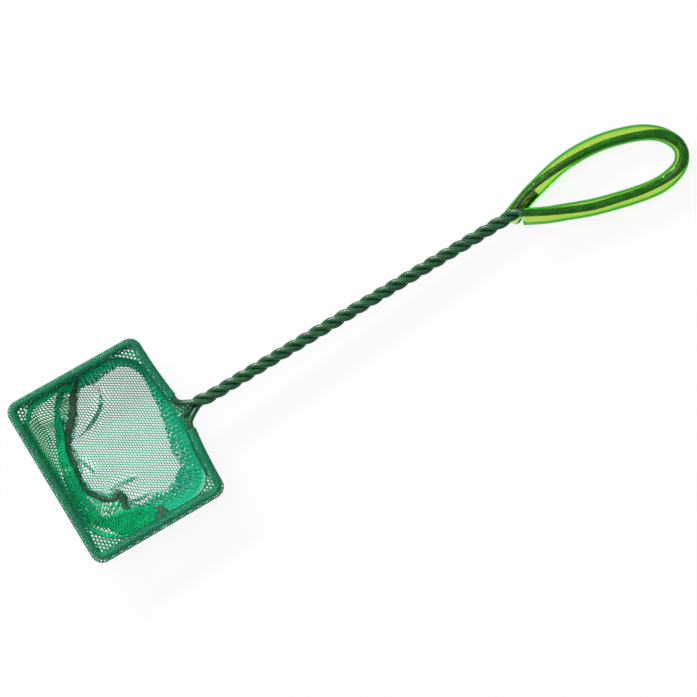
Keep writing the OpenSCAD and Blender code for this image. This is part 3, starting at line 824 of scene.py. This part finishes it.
# Seam of the bag, from the hem on the left over the table to the hem on the right
SEAM_H = 1.6
SEAM_LINE = smooth([
    (1, 37, 12.4), (0.4, 36, 9.5), (-1.2, 34.4, 5.5), (-3.4, 32.6, 2.4), (-4.9, 30.6, 1.5),
    (-6.1, 28.1, 1.3), (-7.9, 25.2, 1.3), (-10.4, 22.3, 1.3), (-13.3, 19.5, 1.3),
    (-15.6, 16.8, 1.3), (-17.7, 13.7, 1.3), (-18.9, 11, 1.3), (-19.1, 8.4, 1.3), (-19.6, 4, 1.3),
    (-20.9, 0.4, 1.3), (-21.4, -3.4, 1.3), (-20.7, -8, 1.3), (-19.1, -10.7, 1.3),
    (-17.2, -13.3, 1.3), (-15.2, -15.4, 1.3), (-13.4, -16.6, 1.3), (-11.6, -16.7, 1.5),
    (-9.7, -15.3, 2.2), (-8.8, -17.2, 1.7), (-9.1, -20.1, 1.3), (-9.6, -23, 1.3),
    (-6.8, -26.2, 1.2), (-3, -28.2, 1.2), (0.5, -29.4, 2.6), (2.2, -31.2, 8), (2.5, -33, 11.6),
    (2.2, -35, 13)], 8)
# Width of the rib along the seam
SEAM_WIDTHS = [3.3, 3.4, 3.7, 3.5, 3.7, 3.4, 3.0, 3.4, 3.1, 2.9, 3.2, 2.8, 2.4, 4.4, 6.8]


def wavy(place, seed):
    """Smooth wander of about one unit, the same each run"""
    rng = np.random.default_rng(seed)
    out = np.zeros(place.shape[:-1])
    for _ in range(5):
        k = rng.normal(size=place.shape[-1])
        out = out + np.sin(place @ k + rng.uniform(0, 6.28)) * 0.45
    return out


def spread(values, count):
    """Values given at even distances, for more points"""
    return np.interp(np.linspace(0, 1, count), np.linspace(0, 1, len(values)), values)


# Distance between a rib's rings, its sides, and the sides and steps in a turn of its threads
RIB_STEP = 0.45
RIB_SIDES = 10
THREAD_SIDES = 6
THREAD_STEPS = 9


def rope(name, line, wide, tall, thread_d, turn, material, seed):
    """Overlocked seam: a bumpy flat rib with threads wound round it, two one way and one the
    other"""
    path = even(line, int(length(line) / RIB_STEP) + 1)
    n, t = sides_of(path)
    b = np.cross(t, n)
    g = 2 * math.pi * np.arange(RIB_SIDES) / RIB_SIDES
    at = np.linspace(0, 1, len(path))[:, None]
    w = spread(wide, len(path)) * (0.8 + 0.16 * wavy(at * 60, seed)) / 2
    h = tall * (0.86 + 0.07 * wavy(at * 120, seed + 1)) / 2
    rings = (path[:, None] + n[:, None] * (w[:, None] * np.cos(g))[..., None]
             + b[:, None] * (h[:, None] * np.sin(g))[..., None])
    threads = Strands(THREAD_SIDES)
    threads.add_rings(rings)
    step = turn / THREAD_STEPS
    fine = even(line, int(length(line) / step) + 1)
    n, t = sides_of(fine)
    b = np.cross(t, n)
    bumps = wavy(np.linspace(0, 60, len(fine))[:, None], seed)
    w = spread(wide, len(fine)) / 2 * (0.92 + 0.16 * bumps)
    for phase, way in ((0, 1), (0.5, 1), (0.25, -1)):
        g = 2 * math.pi * (np.arange(len(fine)) * step / turn * way + phase)
        p = fine + n * (w * np.cos(g))[:, None] + b * (tall / 2 * np.sin(g))[:, None]
        up = n * np.cos(g)[:, None] + b * np.sin(g)[:, None]
        threads.add(p, up, thread_d / 2)
    return threads.piece(name, material)


seam = rope("bag_overlock", SEAM_LINE, SEAM_WIDTHS, SEAM_H, thread_d=0.34, turn=1.5,
            material=SEAM, seed=3)
finish_piece(seam, "seam_thread", "bag_seam")


def make_hem_seam():
    """Stitches along the sewn line, which is widest where it follows the tunnel line"""
    plan = np.vstack([SEWN[0], SEWN[1][1:], SEWN[2][1:]])
    line = np.column_stack([plan, wire_z(plan)])
    outer = np.vstack(TUNNEL)
    away = np.array([np.linalg.norm(outer - p, axis=1).min() for p in plan])
    wide = np.interp(away, (0, 1.2), (1.5, 0.3))
    rib = rope("hem_overlock", line, wide, 0.6, thread_d=0.16, turn=1.1, material=HEM_THREAD,
               seed=11)
    finish_piece(rib, "seam_thread", "hem_stitches")


make_hem_seam()

# Cut edges of the two panels beside the seam: how wide they are to its left and to its right
MARGIN_WIDTHS = (3.4, 1.7)
MARGIN_FROM = 16
MARGIN_GRAIN = 35


def make_margin():
    line = SEAM_LINE[MARGIN_FROM:]
    steps = steps_along(line)
    n, _ = sides_of(line)

    def surface(q):
        s, t = q[..., 0], q[..., 1]
        c, way = at_step(line, steps, s), at_step(n, steps, s)
        edge = np.where(t > 0, *MARGIN_WIDTHS) * (0.85 + 0.16 * wavy(s[..., None] * 0.6, 81))
        place = c + way * t[..., None]
        place[..., 2] = np.maximum(c[..., 2] + 0.5 - 0.45 * abs(t), 0.3)
        return place, (s >= 0) & (s <= steps[-1]) & (abs(t) <= edge)

    margin = Strands(YARN_SIDES)
    knit(margin, surface, (0, -5), (steps[-1], 5), MARGIN_GRAIN, thick=0.38, pitch=0.8)
    return finish_piece(margin.piece("seam_margin", NEAR_NET), "netting")


seam_margin = make_margin()

# Near panel: a floor spread on the table. Its wall first turns in over the floor and then
# rises to the rim
FLOOR_Z = 0.4
FOLD_Z = 2
# The foot between floor and wall: how far inside the wire it lies, its corners' radii, its points
FOOT_INSET = 3
FOOT_RADII = (15, 10, 18, 13)
FOOT_POINTS = 440
# How far both panels' rims lie under the wire's middle
RIM_DROP = 0.5
NEAR_GRAIN = 28
WALL_PITCH = 0.85
WALL_STRAND_D = (0.42, 0.56)
# About how far the wall rises, and how much longer its netting is than the straight way up
WALL_RISE = 10.5
WALL_EASE = 1.03
# The wall's pleats: their spacing, and how far the cloth is pushed together in them
PLEAT = 1.9
PLEAT_PUSH = 0.34
# The line up to which the wall turns in, how far its pleats move that line in and out, and over
# how many points to each side it is evened out
FOLD_LINE = ((-30, 32.4), (-1.8, 31.8), (4, 31), (10.8, 30.5), (15, 31.7), (19.5, 31.4),
             (23, 28.8), (25.2, 24.6), (25.6, 19), (25, 10.2), (23.3, 1), (20.8, -8.8),
             (19.4, -16.5), (16, -22.6), (10, -24.6), (3.5, -24.1), (-3.3, -24), (-30, -24))
FOLD_WANDER = 0.35
FOLD_EVEN = 8


def near_foot():
    """The foot from the seam on the left round the handle side to the seam, and on past it"""
    left, _, right = mouth_line(FOOT_INSET, FOOT_RADII)
    line = np.vstack([left[::-1], right[::-1]])
    beyond = [30, 0]
    return even(np.vstack([line[0] - beyond, line, line[-1] - beyond]), FOOT_POINTS)


# Creases of the near panel's floor: points, how far the cloth is drawn in, reach, height
CREASES = (
    ([(-13.5, 13.6), (-7.7, 15), (-2.1, 17.1), (2.7, 20.2), (5.7, 24.2), (7.2, 29)],
     2.3, 2.1, 1.2),
    ([(-16.4, 6), (-14.9, 1.6), (-13.6, -3)], 2.3, 1.6, 0.9),
    ([(-13.5, -12.2), (-6.5, -12.7), (-2.4, -13.2), (2, -14)], 2.4, 1.9, 1.1),
    ([(-8.4, -20.6), (-2.5, -22.6), (4, -22.2)], 2.2, 1.8, 1))


def crease(place, points, draw, reach, height):
    """Draws the cloth in to a line and lifts it there"""
    line = smooth(points, 6)
    a, b = line[:-1], line[1:]
    p = place[..., None, :2]
    e = b - a
    f = np.clip(np.sum((p - a) * e, axis=-1) / np.sum(e * e, axis=-1), 0, 1)
    near = a + e * f[..., None]
    gap = p - near
    dist = np.linalg.norm(gap, axis=-1)
    best = dist.argmin(axis=-1)
    d = np.take_along_axis(dist, best[..., None], -1)[..., 0]
    g = np.take_along_axis(gap, best[..., None, None], -2)[..., 0, :]
    along = (best + np.take_along_axis(f, best[..., None], -1)[..., 0]) / len(e)
    fade = np.clip(np.minimum(along, 1 - along) * 4, 0, 1)
    pull = fade * np.exp(-(d / reach) ** 2)
    out = place.copy()
    out[..., :2] -= g * (draw * pull)[..., None]
    out[..., 2] += height * fade * np.exp(-(d / (reach * 0.6)) ** 2)
    return out


def near_surfaces():
    """The near panel's floor on flat points, and its wall on points along the foot and outwards"""
    foot = near_foot()
    out_way = left_of(foot)
    # How far the rim is outside the foot and the fold inside it, and the cloth up to the fold and
    # from there to the rim
    reach = ray_hits(foot, out_way, np.vstack([SEWN[0][::-1], SEWN[2][::-1]]), 20)
    fold = ray_hits(foot, -out_way, smooth(FOLD_LINE, 8), 30)
    mean = np.ones(2 * FOLD_EVEN + 1) / (2 * FOLD_EVEN + 1)
    fold = np.convolve(np.pad(fold, FOLD_EVEN, "edge"), mean, mode="valid")
    under = np.hypot(fold, FOLD_Z - FLOOR_Z)
    over = np.hypot(fold + reach, WALL_RISE) * WALL_EASE
    steps = steps_along(foot)
    # The panel ends at the seam, and the floor at the foot. The other points lie far outside
    outline = np.vstack([SEAM_LINE[:, :2], [(2.2, -60), (90, -60), (90, 60), (1, 60)]])
    foot_area = np.vstack([foot, [(-60, foot[-1][1]), (-60, foot[0][1])]])

    def ripple(place):
        """How far the cloth stands off the table"""
        return (0.3 + wavy(place[..., :2] * 0.32, 21) * 0.25).clip(0)

    def floor(q):
        place = raised(q, np.full(q.shape[:-1], FLOOR_Z))
        for args in CREASES:
            place = crease(place, *args)
        place[..., 2] += ripple(place)
        return place, inside_outline(q, foot_area) & inside_outline(place[..., :2], outline)

    def wall_part(q):
        s, w = q[..., 0], q[..., 1]
        c, out = at_step(foot, steps, s), at_step(out_way, steps, s)
        deep, back_w = np.interp(s, steps, fold), np.interp(s, steps, under)
        wide, rise_w = np.interp(s, steps, reach), np.interp(s, steps, over)
        turn = 2 * math.pi * s / PLEAT + 1.3 * wavy((s / 9)[..., None], 25)
        deep = deep * (1 + 0.06 * wavy(s[..., None] * 0.5, 24)) + FOLD_WANDER * np.sin(turn)
        back = np.clip(w / back_w, 0, 1)
        climb = np.clip((w - back_w) / rise_w, 0, 1)
        offset = -deep * back ** 1.6 + (deep + wide) * climb ** 0.62
        gather = wavy((s / 1.9)[..., None], 23) * 0.12 * np.sin(climb * math.pi)
        plan = c + out * (offset + gather)[..., None]
        side = np.stack([out[..., 1], -out[..., 0]], axis=-1)
        strong = np.where(climb > 0, 1 - climb, back) ** 0.5
        plan = plan + side * (PLEAT_PUSH * np.sin(turn) * strong)[..., None]
        rim_z = wire_z(plan) - RIM_DROP
        z = FLOOR_Z + (FOLD_Z - FLOOR_Z) * back ** 2 + (rim_z - FOLD_Z) * climb ** 1.5
        z = z + (1 - climb) * ripple(plan)
        ok = (s >= 0) & (s <= steps[-1]) & (w >= 0) & (w <= back_w + rise_w)
        return raised(plan, z), ok & inside_outline(plan, outline)

    def wall_thick(q):
        """Thin at the fold and thicker towards the foot and the rim"""
        s, w = q[..., 0], q[..., 1]
        back_w, rise_w = np.interp(s, steps, under), np.interp(s, steps, over)
        away = np.where(w < back_w, 1 - w / back_w, (w - back_w) / rise_w)
        return np.interp(away, (0.1, 0.6), WALL_STRAND_D)

    return floor, wall_part, wall_thick, float(steps[-1]), float((under + over).max())


near = Strands(YARN_SIDES)
near_floor, near_wall, near_thick, foot_len, wall_deep = near_surfaces()
near_area = knit(near, near_floor, (-30, -36), (32, 38), NEAR_GRAIN)
near_area += knit(near, near_wall, (0, 0), (foot_len, wall_deep), 0, near_thick, WALL_PITCH)
near_net = near.piece("near_net", NEAR_NET)
finish_piece(near_net, "netting", "near_panel")

# Far panel: from the rim down to the table, folded over itself as a flat ribbon, then to the seam
FAR_STATIONS = np.array([
    # rim, ribbon's outer edge, ribbon's inner edge, seam
    [1, 37.2, 0.5, 36.9, 0.2, 36.4, 0.9, 37],
    [-5, 37.4, -4.5, 36.2, -3.6, 33.2, -2.6, 33.6],
    [-10, 37.6, -8.5, 35.8, -7.2, 33, -5, 30.6],
    [-15, 37.8, -11.2, 33.8, -9.8, 32.2, -6, 28.4],
    [-20, 38, -13.2, 31.2, -11.4, 30.6, -7.4, 26],
    [-25, 37.2, -15, 28.4, -12.9, 28.2, -9, 23.8],
    [-28, 32.5, -16.8, 25.2, -13.9, 25, -10.9, 21.8],
    [-28.4, 25, -18.6, 21.8, -14.9, 21.6, -13.2, 19.6],
    [-28.4, 17, -21.2, 17, -16.4, 17.2, -15.8, 16.6],
    [-28.4, 9, -23.8, 10.4, -19.2, 11.6, -18.9, 11.6],
    [-28.4, 0, -26.3, 1.2, -20.6, 2.5, -20.2, 2.8],
    [-28.4, -8, -27.3, -7, -21.8, -5.5, -21.3, -4.4],
    [-28.4, -16, -27.4, -14.5, -21.4, -11.8, -19.6, -10.2],
    [-28, -25, -25.8, -20.8, -21.1, -17.2, -16.9, -13.8],
    [-25.3, -32, -21.6, -26, -20, -21, -13.4, -16.6],
    [-19, -34.4, -17, -32, -15.5, -22.4, -9.2, -17.6],
    [-11, -34.8, -10.5, -34, -10.2, -23.8, -9.4, -21.5],
    [-4, -35, -4, -34.4, -4.2, -25.6, -6.5, -26.2],
    [2, -35.2, 1.8, -34.8, 1.8, -28.4, 2.2, -33]])
# How the panel comes down from its rim: how far it has gone to the ribbon, and how high it is
RIM_FALL = ((0.14, 0.7), (0.3, 0.4), (0.48, 0.14), (0.92, 0))
LAYER_GAP = 0.5
FAR_PITCH = 1.35
FAR_STRAND_D = 0.52
FAR_GRAIN = -7
# Its strands are thicker where it comes down from the rim, over this much of its depth
FALL_STRAND_D = 0.72
FALL_DEEP = 15
# How long the cloth is as a share of its way from the ribbon to the seam, where it is stretched
SEAM_STRETCH = 0.65
# Tuck under the rim: how wide it is along the panel, from the seam on the left round to the right
TUCK_AT = (0, 0.05, 0.12, 0.3, 0.36, 0.45, 0.7, 0.8, 0.9, 1)
TUCK_WIDTHS = (0.2, 2.2, 3.4, 3.2, 1.6, 1.1, 1.1, 1.6, 1.8, 0.2)
# How far the tuck's edge and its lower end lie under the rim
EDGE_DROP, TUCK_DROP = 1.2, 2
# Height of the ribbon over the table, along the panel in the same way
LIFT_AT = (0, 0.06, 0.12, 0.4, 0.55, 0.75, 0.9, 0.96, 1)
LIFTS = (11, 5, 0.4, 0.4, 2.5, 2.5, 0.4, 4, 11)


def far_surface():
    """The far panel on points along its rim and down from it, with its length, depth and area"""
    st = smooth(FAR_STATIONS, 8)
    rim, outer, inner, end = st[:, 0:2], st[:, 2:4], st[:, 4:6], st[:, 6:8]
    count = len(st)
    u = np.linspace(0, 1, count)
    rim = np.array([SEWN[1][np.linalg.norm(SEWN[1] - p, axis=1).argmin()] for p in rim])
    rim[1:-1] = (rim[:-2] + rim[1:-1] + rim[2:]) / 3
    end = np.array([SEAM_LINE[np.linalg.norm(SEAM_LINE[:, :2] - p, axis=1).argmin()] for p in end])
    steps = steps_along(rim)
    rim_z = wire_z(rim) - RIM_DROP
    lift = np.interp(u, LIFT_AT, LIFTS)
    turns = (inner, outer, inner, outer, inner)
    gap = np.linalg.norm(outer - rim, axis=1)
    tuck = np.interp(u, TUCK_AT, TUCK_WIDTHS) * (1 + 0.12 * wavy(u[:, None] * 30, 50))
    tuck = np.minimum(tuck, gap * 0.8)
    inward = (outer - rim) / gap[:, None] * tuck[:, None]
    back = rim + inward * 0.15
    rows = [np.column_stack([rim, rim_z]),
            np.column_stack([rim + inward, rim_z - EDGE_DROP]),
            np.column_stack([back, rim_z - TUCK_DROP])]
    for gone, high in RIM_FALL:
        z = lift + gone * 1.4 + (rim_z - TUCK_DROP - lift) * high
        rows.append(np.column_stack([back + (outer - back) * gone, z]))
    way = unit(inner - outer + 1e-6)
    for layer, turn in enumerate(turns):
        wander = 0.35 * wavy(u[:, None] * 14, 40 + layer)
        plan = turn + way * wander[:, None]
        z = lift + LAYER_GAP * (len(turns) - 1 - layer) + 0.3
        z = z + 0.12 * wavy(u[:, None] * 22, 60 + layer)
        rows.append(np.column_stack([plan, z + LAYER_GAP / 2]))
        if layer < len(turns) - 1:
            rows.append(np.column_stack([plan, z]))
    rows.append(np.column_stack([inner + (end[:, :2] - inner) * 0.45,
                                 lift * 0.5 + end[:, 2] * 0.5 + 0.2]))
    rows.append(end)
    grid = np.stack(rows, axis=1)
    gather = np.ones(len(rows) - 1)
    gather[-2:] = SEAM_STRETCH
    ways = np.linalg.norm(np.diff(grid, axis=1), axis=2) * gather
    profile = np.concatenate([np.zeros((count, 1)), np.cumsum(ways, axis=1)], axis=1)

    def surface(q):
        shape = q.shape[:-1]
        f = q.reshape(-1, 2)
        at = np.interp(f[:, 0], steps, np.arange(count))
        i = np.minimum(at.astype(int), count - 2)
        r = (at - i)[:, None]
        lengths = profile[i] * (1 - r) + profile[i + 1] * r
        points = grid[i] * (1 - r[..., None]) + grid[i + 1] * r[..., None]
        t = f[:, 1]
        k = np.clip((lengths <= t[:, None]).sum(1) - 1, 0, lengths.shape[1] - 2)
        pick = np.arange(len(f))
        a, b = lengths[pick, k], lengths[pick, k + 1]
        e = np.clip((t - a) / np.maximum(b - a, 1e-6), 0, 1)[:, None]
        place = points[pick, k] * (1 - e) + points[pick, k + 1] * e
        place[:, 2] += 0.12 * wavy(place[:, :2] * 0.8, 71)
        place[:, 2] = np.maximum(place[:, 2], 0.25)
        ok = (f[:, 0] >= 0) & (f[:, 0] <= steps[-1]) & (t >= 0) & (t <= lengths[:, -1])
        return place.reshape(shape + (3,)), ok.reshape(shape)

    deep = profile[:, -1]
    area = float(np.sum((deep[1:] + deep[:-1]) / 2 * np.diff(steps)))
    return surface, float(steps[-1]), float(deep.max()), area


far, far_len, far_deep, far_area = far_surface()
far_yarn = Strands(YARN_SIDES)
knit(far_yarn, far, (0, 0), (far_len, far_deep), FAR_GRAIN, pitch=FAR_PITCH,
     thick=lambda q: np.where(q[..., 1] < FALL_DEEP, FALL_STRAND_D, FAR_STRAND_D))
far_net = far_yarn.piece("far_net", FAR_NET)
finish_piece(far_net, "netting", "far_panel")


# Floor and light
WHITE = (1, 1, 1, 1)


def make_stage():
    """White table. The camera sees it as nearly plain white with the part's shadow on it, also
    through the tube"""
    mesh = bpy.data.meshes.new("floor")
    half = 8
    corners = [(-half, -half, 0), (half, -half, 0), (half, half, 0), (-half, half, 0)]
    mesh.from_pydata(corners, [], [(0, 1, 2, 3)])
    floor = new_object("floor", mesh)
    m, tree, bsdf = new_material("white_table")
    tree.fill(bsdf, Base_Color=(0.86, 0.86, 0.86, 1), Roughness=0.9)
    glow = tree.new("Emission", Color=WHITE, Strength=1)
    rays = tree.new("LightPath").outputs
    seen = tree.new("Math", rays["Is Camera Ray"], rays["Is Transmission Ray"],
                    operation="MAXIMUM")
    share = tree.new("Math", seen, 0.9, operation="MULTIPLY")
    mix = tree.new("MixShader", share, bsdf, glow)
    tree.fill(tree.nodes["Material Output"], Surface=mix)
    mesh.materials.append(m)


def make_light():
    """Two soft lamps, and a world that the camera sees as white but that lights less"""
    world = bpy.data.worlds.new("studio")
    bpy.context.scene.world = world
    tree = Nodes(world)
    soft = tree.fill(tree.nodes["Background"], Color=WHITE, Strength=0.35)
    white = tree.new("Background", Color=WHITE, Strength=1)
    camera = tree.new("LightPath").outputs["Is Camera Ray"]
    tree.fill(tree.nodes["World Output"], Surface=tree.new("MixShader", camera, soft, white))

    def area(name, place, target, wide, tall, power):
        data = bpy.data.lights.new(name, "AREA")
        data.shape, data.size, data.size_y, data.energy = "RECTANGLE", wide, tall, power
        lamp = new_object(name, data)
        lamp.location = Vector(place)
        way = Vector(target) - Vector(place)
        lamp.rotation_mode = "QUATERNION"
        lamp.rotation_quaternion = way.to_track_quat("-Z", "Y")

    # Both stand to the picture's upper left, which is the part's +Y side. Metres and watts
    area("key", (-0.3, 1.65, 0.9), (0.1, 0, 0), 1.3, 0.16, 36)
    area("overhead", (-0.25, 1.0, 2.0), (0.1, 0, 0), 1.5, 1.5, 20)


make_stage()
make_light()
bpy.context.scene.view_settings.view_transform = "Standard"
